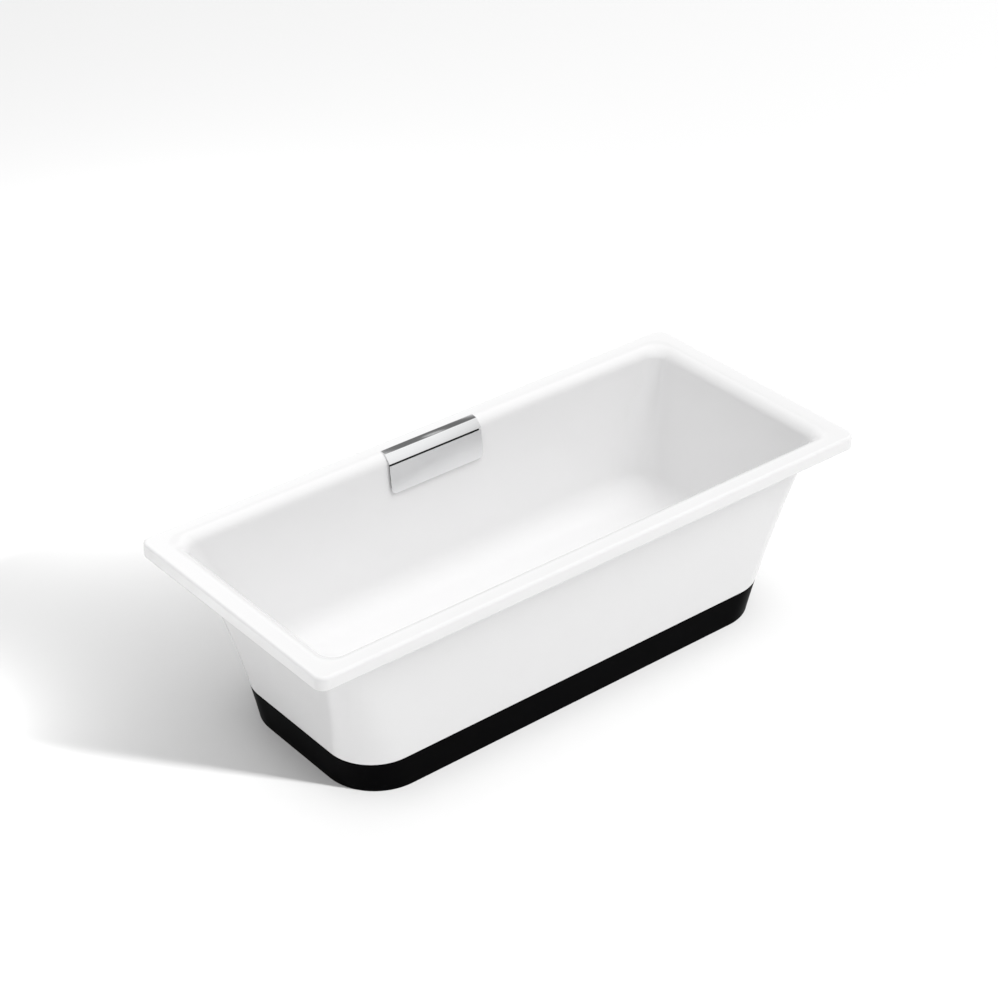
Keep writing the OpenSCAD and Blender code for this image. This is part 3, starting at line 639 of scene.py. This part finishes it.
# trim and plate sizes; the casting's recess follows them
trim = {
    "halfLength": 149, "thick": 2.5, "setIn": 2, "strip": 19, "proud": 0.8, "fall": 2.8,
    "drop": 23, "slot": 4, "gap": 0.3, "bend": 2.5, "crown": 0.3, "plateGap": 6,
    "plateHeight": 80, "plateCorner": 14, "edge": 0.5, "setBack": 1,
}
rollLowZ = rimHeight - casting["rollDrop"]
wallInY = float(bodyPlan(rollLowZ, True)[1])
trimTopY = wallInY + casting["sideRoll"] - trim["setIn"]
trimLowY = wallInY - trim["plateGap"] - trim["thick"] + trim["setBack"]
trimLowZ = rimHeight - trim["drop"]
trimLine = [
    (trimTopY, rimHeight + trim["proud"]),
    (trimTopY - trim["strip"], rimHeight + trim["proud"] - trim["fall"]),
    (trimLowY, trimLowZ),
]
bevelAngle = math.atan2(trimLine[1][1] - trimLine[2][1], trimLine[1][0] - trimLine[2][0])


def trimInside(depth):
    # the trim's line moved in by a depth: the shares put each corner on the offset sides
    return [
        (trimTopY, trimLine[0][1] - depth * 1.05),
        (trimLine[1][0] + depth * 0.55, trimLine[1][1] - depth * 0.95),
        (trimLowY + depth * math.sin(bevelAngle), trimLowZ - depth * math.cos(bevelAngle)),
    ]


def makeCasting():
    # the rings of castingRings, closed by a sloping basin floor, the drain's seat and hole, and a flat
    # underside
    c = casting
    table = planTable(*planSteps)
    body = castingRings(table)
    foot = body[0]
    edge = body[-1]
    seat = c["floorMiddle"] - c["seatSunk"]
    seatEdge = discRing(edge, c["seatRadius"], c["floorMiddle"] + 0.15)
    hole = discRing(edge, c["drainHole"], seat)
    under = discRing(foot, c["drainHole"], c["underside"])
    floorIn = blendRings(edge, seatEdge, np.linspace(0, 1, 15)[1:])
    floorIn[:, :, 2] = np.linspace(c["floorEdge"], c["floorMiddle"], 15)[1:, None]
    seatRings = np.stack([
        discRing(edge, c["seatRadius"] - c["seatEase"], c["floorMiddle"] - 0.4),
        discRing(edge, c["seatRadius"] - c["seatEase"] - 0.1, seat),
        hole,
        discRing(edge, c["drainHole"], c["underside"] + c["seatEase"]),
    ])
    underRings = blendRings(under, foot, [0, 0.12, 0.3, 0.5, 0.7, 0.85, 0.95, 0.985])
    underRings[:, :, 2] = c["underside"]
    rings = np.concatenate([underRings, body, floorIn, seatRings])
    points = rings.reshape(-1, 3)
    faces = gridFaces(len(rings), rings.shape[1], True)
    return points, faces


overflowZ = rimHeight - casting["overflowBelow"]
wallThick = casting["sideWall"] * math.cos(sideSlope)
onWall = wallMatrix(overflowZ)


def cutCasting(tub):
    # the recess that the trim lies in, and the overflow's hole with its pocket
    c = casting
    past = 10  # how far a cutter runs beyond what it cuts
    bed = trimInside(trim["thick"] + trim["gap"])
    near, top, back = trimLowY - 2 * past, rimHeight + past, bed[0][0] + trim["gap"]
    half = trim["halfLength"] + trim["gap"]
    step = c["pocketDepth"] - wallThick
    cutWith(tub, [
        closedPrism([(near, top), (near, bed[2][1]), bed[2], bed[1], (back, bed[0][1]), (back, top)],
                    -half, half),
        closedLathe([(0, -wallThick - past), (c["pocket"], -wallThick - past), (c["pocket"], step),
                     (c["nippleHole"], step), (c["nippleHole"], past), (0, past)], 64, onWall),
    ], 30)


tub = addPiece("enamelled_tub", *makeCasting(), "tub_shell", 30)
cutCasting(tub)
print("casting made:", len(tub.data.polygons), "faces")


# plinth

plinth = {"wall": 4, "flange": 18, "fillet": 2, "edge": 1.2, "waste": 50, "hole": 26}


def makePlinth():
    # a band that follows the casting's outline down to the floor, with a flange turned in at the top
    p = plinth
    a = quarter(4)
    e = p["edge"]
    bottom = [(e * (1 - math.sin(v)), e * (1 - math.cos(v))) for v in a]
    margin = 5 * e
    outer = [(0, z) for z in np.linspace(margin, plinthTop - margin, 14)]
    top = [(e * (1 - math.cos(v)), plinthTop - e * (1 - math.sin(v))) for v in a]
    inner = [(p["flange"], plinthTop), (p["flange"], plinthTop - p["wall"]),
             (p["wall"] + p["fillet"], plinthTop - p["wall"]),
             (p["wall"], plinthTop - p["wall"] - p["fillet"]), (p["wall"], 0)]
    cut, z = np.array(bottom + outer + top + inner, float).T
    hx, hy, r = bodyPlan(z)
    rings = planRings(planTable(*planSteps), hx - cut, hy - cut, r - cut, z)
    return rings.reshape(-1, 3), gridFaces(len(rings), rings.shape[1], True)


def cutPlinth(band):
    # the hole at the back for the waste pipe
    reach = 30
    side = float(bodyPlan(0)[1])
    through = Matrix.Translation((0, side - reach, plinth["waste"])) @ Matrix.Rotation(
        -math.pi / 2, 4, "X")
    hole = [(0, 0), (plinth["hole"], 0), (plinth["hole"], 2 * reach), (0, 2 * reach)]
    cutWith(band, [closedLathe(hole, 48, through)], 30)


cutPlinth(addPiece("black_plinth", *makePlinth(), "plinth_band", 30))
print("plinth made")


# chrome trim and plate

def roundedLine(corners, radii, steps=5):
    # a closed outline with an arc at each corner whose radius isn't zero: the arc touches both sides
    line = []
    corners = [np.array(c, float) for c in corners]
    for k, corner in enumerate(corners):
        if radii[k] == 0:
            line.append(corner)
            continue
        back = corners[k - 1] - corner
        ahead = corners[(k + 1) % len(corners)] - corner
        back /= np.linalg.norm(back)
        ahead /= np.linalg.norm(ahead)
        half = math.acos(np.clip(back @ ahead, -1, 1)) / 2
        reach = radii[k] / math.tan(half)
        centre = corner + (back + ahead) / np.linalg.norm(back + ahead) * radii[k] / math.sin(half)
        start, end = corner + back * reach - centre, corner + ahead * reach - centre
        sweep = math.pi - 2 * half
        for s in np.linspace(0, 1, steps + 1):
            line.append(centre + (math.sin((1 - s) * sweep) * start + math.sin(s * sweep) * end)
                        / math.sin(sweep))
    return np.array(line)


def bevelEdges(piece, width, sharp):
    # rounds every edge sharper than 40 degrees
    step = piece.modifiers.new("edges", "BEVEL")
    step.width = width * mm
    step.segments = 3
    step.limit_method = "ANGLE"
    step.angle_limit = math.radians(40)
    applyModifiers(piece, sharp)


def makeTrim():
    # a strip with a faint crown, 4 crown s (1 - s), then a bend and a bevel, run along X
    low = trimInside(trim["thick"])
    back, bend = (np.array(c) for c in trimLine[:2])
    share = np.linspace(0, 1, 9)[1:-1, None]
    proud = np.array([0, 1]) * trim["crown"] * 4 * share * (1 - share)
    strip = back + share * (bend - back) + proud
    outline = roundedLine(
        [trimLine[0], *strip, trimLine[1], trimLine[2], low[2], low[1], low[0]],
        [0] * (len(strip) + 1) + [trim["bend"] - 0.9, 0, 0, trim["bend"] - 1, 0], 6)
    shape = closedPrism(outline, -trim["halfLength"], trim["halfLength"])
    piece = addPiece("rim_trim_strip", *shape, "rim_trim", finish="trim_chrome")
    bevelEdges(piece, trim["edge"], 30)


def makePlate():
    # the outline lies in the wall's own plane: x along the tub, y down the wall
    back = -wallThick - trim["plateGap"]
    front = back - trim["thick"]
    topZ = trimLowZ - trim["thick"] * math.cos(bevelAngle) - trim["slot"]
    y0 = (overflowZ - topZ - front * math.sin(sideSlope)) / math.cos(sideSlope)
    y1 = y0 + trim["plateHeight"]
    x = trim["halfLength"]
    r = trim["plateCorner"]
    outline = roundedLine([(-x, y0), (x, y0), (x, y1), (-x, y1)], [1, 1, r, r], 10)
    points, faces = closedPrism(outline, front, back, upright=True)
    piece = addPiece("overflow_cover_plate", moved(points, onWall), faces, "overflow_plate")
    bevelEdges(piece, trim["edge"], 30)


makeTrim()
makePlate()
print("trim and plate made")


# drain, stopper and waste run

waste = {
    "tube": 19, "tubeWall": 1.5, "port": 23, "centre": 50, "pipeStand": 26.5,
    "shoePort": 70, "teeArm": 46, "teeUp": 34, "teeDown": 32, "socketDepth": 22,
    "tailSocket": 10, "teeSocket": 12, "stop": 2, "bodyBelow": 44,
    "nut": 26, "nutHeight": 14, "nutPast": 6, "nutEnd": 2, "nutRound": 1.2, "nutEase": 0.35,
    "ribs": 16, "ribDeep": 0.7, "clear": 0.3, "escutcheon": 28, "ringHeight": 5, "sides": 72,
}
drain = {
    "flangeThick": 2.5, "gasket": 1, "cap": 29, "capHeight": 4, "dome": 2, "edge": 0.8, "ease": 0.4,
    "stopGap": 0.3, "seal": 1.5,
}
pipeY = float(bodyPlan(overflowZ)[1]) + waste["pipeStand"]


def tubeProfile(low, high, outer, inner, edge=0.5):
    # a tube's section with small rounds at both ends, outside upwards and inside downwards
    corners = [(outer, low), (outer, high), (inner, high), (inner, low)]
    return roundedLine(corners, [edge] * 4, 2)


def atJoints():
    # the five slip joints, each with its Z axis towards the tube
    w = waste
    across = Matrix.Rotation(math.pi / 2, 4, "X")
    yield Matrix.Translation((0, w["shoePort"], w["centre"])) @ across
    yield Matrix.Translation((0, pipeY - w["teeArm"], w["centre"])) @ across.inverted()
    yield Matrix.Translation((0, pipeY, w["centre"] + w["teeUp"])) @ Matrix.Rotation(math.pi, 4, "X")
    yield Matrix.Translation((0, pipeY, w["centre"] - w["teeDown"]))
    yield Matrix.Translation((0, pipeY, overflowZ - w["bodyBelow"]))


def makeWaste():
    # three tubes, a nut at each slip joint and a ring on the floor
    w = waste
    tubeIn = w["tube"] - w["tubeWall"]
    upright = Matrix.Translation((0, pipeY, 0))
    low = w["centre"] + w["teeUp"] - w["teeSocket"] + w["stop"]
    high = overflowZ - w["bodyBelow"] + w["socketDepth"] - w["stop"]
    points, faces = ringLathe(tubeProfile(low, high, w["tube"], tubeIn), w["sides"])
    addPiece("overflow_downpipe", moved(points, upright), faces, "overflow_pipe")
    high = w["centre"] - w["teeDown"] + w["tailSocket"] - w["stop"]
    points, faces = ringLathe(tubeProfile(0, high, w["tube"], tubeIn), w["sides"])
    addPiece("floor_tailpiece", moved(points, upright), faces, "outlet_tail")
    points, faces = ringLathe(tubeProfile(
        w["shoePort"] - w["socketDepth"] + w["stop"],
        pipeY - w["teeArm"] + w["socketDepth"] - w["stop"], w["tube"], tubeIn), w["sides"])
    across = Matrix.Translation((0, 0, w["centre"])) @ Matrix.Rotation(-math.pi / 2, 4, "X")
    addPiece("waste_cross_tube", moved(points, across), faces, "waste_arm")

    top, bore, wide = w["nutHeight"], w["tube"] + w["clear"], w["port"] + w["clear"]
    out, edge, ease = w["nut"], w["nutRound"], w["nutEase"]

    # nuts: a rounded sleeve, r less depth (0.5 + 0.5 cos(ribs a))^4, the ribs fading at both ends
    def ribs(profile, angle):
        outside = profile[:, :1] > out - 0.1
        middle = np.clip(np.minimum(profile[:, 1:], top - profile[:, 1:]) - 1.5, 0, 1)
        return -w["ribDeep"] * outside * middle * (0.5 + 0.5 * np.cos(w["ribs"] * angle)) ** 4

    sleeve = [(out, z) for z in np.linspace(edge, top - edge, 8)]
    profile = [(bore, 0), (out - edge, 0), (out - ease, ease), *sleeve, (out - ease, top - ease),
               (out - edge, top), (wide, top), (wide, w["nutEnd"]), (bore, w["nutEnd"])]
    nut, faces = ringLathe(profile, 192, ribs)
    nut = nut - [0, 0, w["nutPast"]]
    points, faces = joined([(moved(nut, place), faces) for place in atJoints()])
    addPiece("ribbed_slip_nuts", points, faces, "slip_nuts")

    # the ring on the floor: a low cone with a rounded foot
    high = w["ringHeight"]
    cone = roundedLine([(w["escutcheon"], 0), (w["escutcheon"], 1), (w["tube"] + 3, high), (bore, high),
                        (bore, 0)], [0, 0.7, 1.5, 0.3, 0], 4)
    points, faces = ringLathe(cone, w["sides"])
    addPiece("floor_ring", moved(points, upright), faces, "floor_escutcheon")
    print("waste run made")


def makeStopper():
    # a shallow dome: z = top - dome (r / cap)^2 over a short rounded rim
    d = drain
    low = casting["floorMiddle"] - casting["seatSunk"] + d["gasket"] + d["flangeThick"] \
        + d["stopGap"] + d["seal"]
    top = low + d["capHeight"]
    cap, edge, ease = d["cap"], d["edge"], d["ease"]
    rim = top - d["dome"] - ease
    profile = [(0, low), (cap / 2, low), (cap - ease, low), (cap, low + ease), (cap, rim)]
    profile += [(cap - edge * (1 - math.cos(v)), rim + edge * math.sin(v)) for v in quarter(5)[1:]]
    profile += [(cap * s, top - d["dome"] * s * s) for s in np.linspace(0.94, 0.03, 16)] + [(0, top)]
    points, faces = closedLathe(profile, 96)
    addPiece("domed_stopper", points, faces, "stopper_cap", 40)
    print("stopper made")


def makeBosses():
    # four round bosses under the casting's floor, each drilled for a bearer bolt
    c = casting
    high = c["underside"] + 0.3
    points, faces = ringLathe(tubeProfile(c["bossLow"], high, c["bossRadius"], c["bossHole"]), 48)
    spots = [(sx * c["bossX"], sy * c["bossY"], 0) for sx in (-1, 1) for sy in (-1, 1)]
    points, faces = joined([(points + np.array(spot), faces) for spot in spots])
    addPiece("casting_bosses", points, faces, "tub_shell", 40)
    print("bosses made")


makeWaste()
makeStopper()
makeBosses()


# studio

studio = {
    "zenith": 0.98,
    "horizon": 0.16,
    "floorHalf": 30,
    "floorGrey": (0.55, 0.55, 0.55, 1),
    "formLight": {"towards": (0.12, -0.42, 0.9), "strength": 1.08, "angle": 50},
    "washLights": [
        {"place": (-1.5, 0.7, 0.25), "watts": 14},
        {"place": (0.0, 1.75, 0.5), "watts": 72},
    ],
    "softBox": {"low": (-60, 23.5), "high": (-60, 28.5), "far": 36, "width": 2.7, "watts": 28500},
    "keyPatch": {"towards": (0.53, -0.62, 0.58), "cone": (0.86, 0.97), "adds": 0.04},
    "backPatch": {"towards": (0.55, 0.65, 0.52), "cone": (0.4, 0.95), "adds": 0.22},
    "darkPatch": {"towards": (0.533, 0.47, 0.70), "cone": (0.94, 0.985), "takes": 0.85},
    "stripPatch": {"towards": (0.533, 0.47, 0.70), "cone": (0.998, 0.9998), "adds": 0.4},
    "leftPatch": {"towards": (-1, 0.1, -0.1), "cone": (0.6, 0.97), "takes": 0.75},
}


def light(name, data, receivers):
    # lights only the receivers; glossy surfaces see the studio walls instead
    lamp = bpy.data.objects.new(name, data)
    lamp.visible_glossy = False
    bpy.context.scene.collection.objects.link(lamp)
    lit = bpy.data.collections.new("lit_by_" + name)
    for piece in receivers:
        lit.objects.link(piece)
    lamp.light_linking.receiver_collection = lit
    return lamp


def addFormLight(receivers):
    # a wide soft sun
    settings = studio["formLight"]
    data = bpy.data.lights.new("form_light", "SUN")
    data.energy = settings["strength"]
    data.angle = math.radians(settings["angle"])
    sun = light("form_light", data, receivers)
    sun.rotation_euler = Vector(settings["towards"]).to_track_quat("Z", "Y").to_euler()


def addSoftBox(receivers):
    # a long soft box far off, its length between two directions given as azimuth and elevation
    settings = studio["softBox"]
    ends = []
    for azimuth, elevation in (settings["low"], settings["high"]):
        azimuth, elevation = math.radians(azimuth), math.radians(elevation)
        ends.append(settings["far"] * Vector((math.cos(azimuth) * math.cos(elevation),
                                              math.sin(azimuth) * math.cos(elevation),
                                              math.sin(elevation))))
    middle = (ends[0] + ends[1]) / 2
    back = middle.normalized()
    along = (ends[1] - ends[0]).normalized()
    across = along.cross(back)
    data = bpy.data.lights.new("soft_box", "AREA")
    data.shape = "RECTANGLE"
    data.size = settings["width"]
    data.size_y = (ends[1] - ends[0]).length
    data.energy = settings["watts"]
    box = light("soft_box", data, receivers)
    box.matrix_world = Matrix.Translation(middle) @ Matrix((across, along, back)).transposed().to_4x4()


def addWashLights(receivers):
    # two small lamps near the floor that fade the shadow out towards the left and the back
    for number, settings in enumerate(studio["washLights"], 1):
        name = "wash_light_" + str(number)
        data = bpy.data.lights.new(name, "POINT")
        data.energy = settings["watts"]
        data.use_shadow = False
        light(name, data, receivers).location = settings["place"]


def makeFloor():
    # a square far larger than the view
    far = studio["floorHalf"]
    mesh = bpy.data.meshes.new("studio_floor")
    corners = [(-far, -far, 0), (far, -far, 0), (far, far, 0), (-far, far, 0)]
    mesh.from_pydata(corners, [], [(0, 1, 2, 3)])
    floor = bpy.data.objects.new("studio_floor", mesh)
    bpy.context.scene.collection.objects.link(floor)
    finish = Finish("floor_white", {"Base Color": studio["floorGrey"], "Roughness": 0.7,
                                    "Specular IOR Level": 0.2})
    mesh.materials.append(finish.material)
    return floor


def makeWorld():
    # grey at the horizon and brighter overhead, with patches that shape what the gloss reflects
    world = bpy.data.worlds.new("studio_world")
    bpy.context.scene.world = world
    world.use_nodes = True
    tree = world.node_tree
    background = tree.nodes["Background"]
    way = Value(tree, tree.nodes.new("ShaderNodeTexCoord").outputs["Generated"])

    def lobe(direction, start, end):
        # smooth step from 0 to 1 as the cosine to a direction goes from start to end
        dot = tree.nodes.new("ShaderNodeVectorMath")
        dot.operation = "DOT_PRODUCT"
        connect(tree, dot.inputs[0], way)
        dot.inputs[1].default_value = Vector(direction).normalized()
        ramp = tree.nodes.new("ShaderNodeMapRange")
        ramp.interpolation_type = "SMOOTHSTEP"
        tree.links.new(dot.outputs["Value"], ramp.inputs["Value"])
        ramp.inputs["From Min"].default_value = start
        ramp.inputs["From Max"].default_value = end
        return Value(tree, ramp.outputs["Result"])

    key, back, dark, line, left = (
        studio[k] for k in ("keyPatch", "backPatch", "darkPatch", "stripPatch", "leftPatch"))
    level = studio["horizon"] + lobe((0, 0, 1), -0.1, 0.75) * (studio["zenith"] - studio["horizon"])
    level = level + lobe(key["towards"], *key["cone"]) * key["adds"]
    level = level + lobe(back["towards"], *back["cone"]) * back["adds"]
    level = level * (1 - lobe(left["towards"], *left["cone"]) * left["takes"])
    level = level * (1 - lobe(dark["towards"], *dark["cone"]) * dark["takes"])
    level = level + lobe(line["towards"], *line["cone"]) * line["adds"]
    tree.links.new(level.socket, background.inputs["Strength"])
    background.inputs["Color"].default_value = (1, 1, 1, 1)


floor = makeFloor()
makeWorld()
shown = [o for o in bpy.context.scene.objects if o.type == "MESH" and o is not floor]
addFormLight(shown)
addSoftBox([floor])
addWashLights([floor])
bpy.context.scene.view_settings.view_transform = "Standard"
print("studio made")
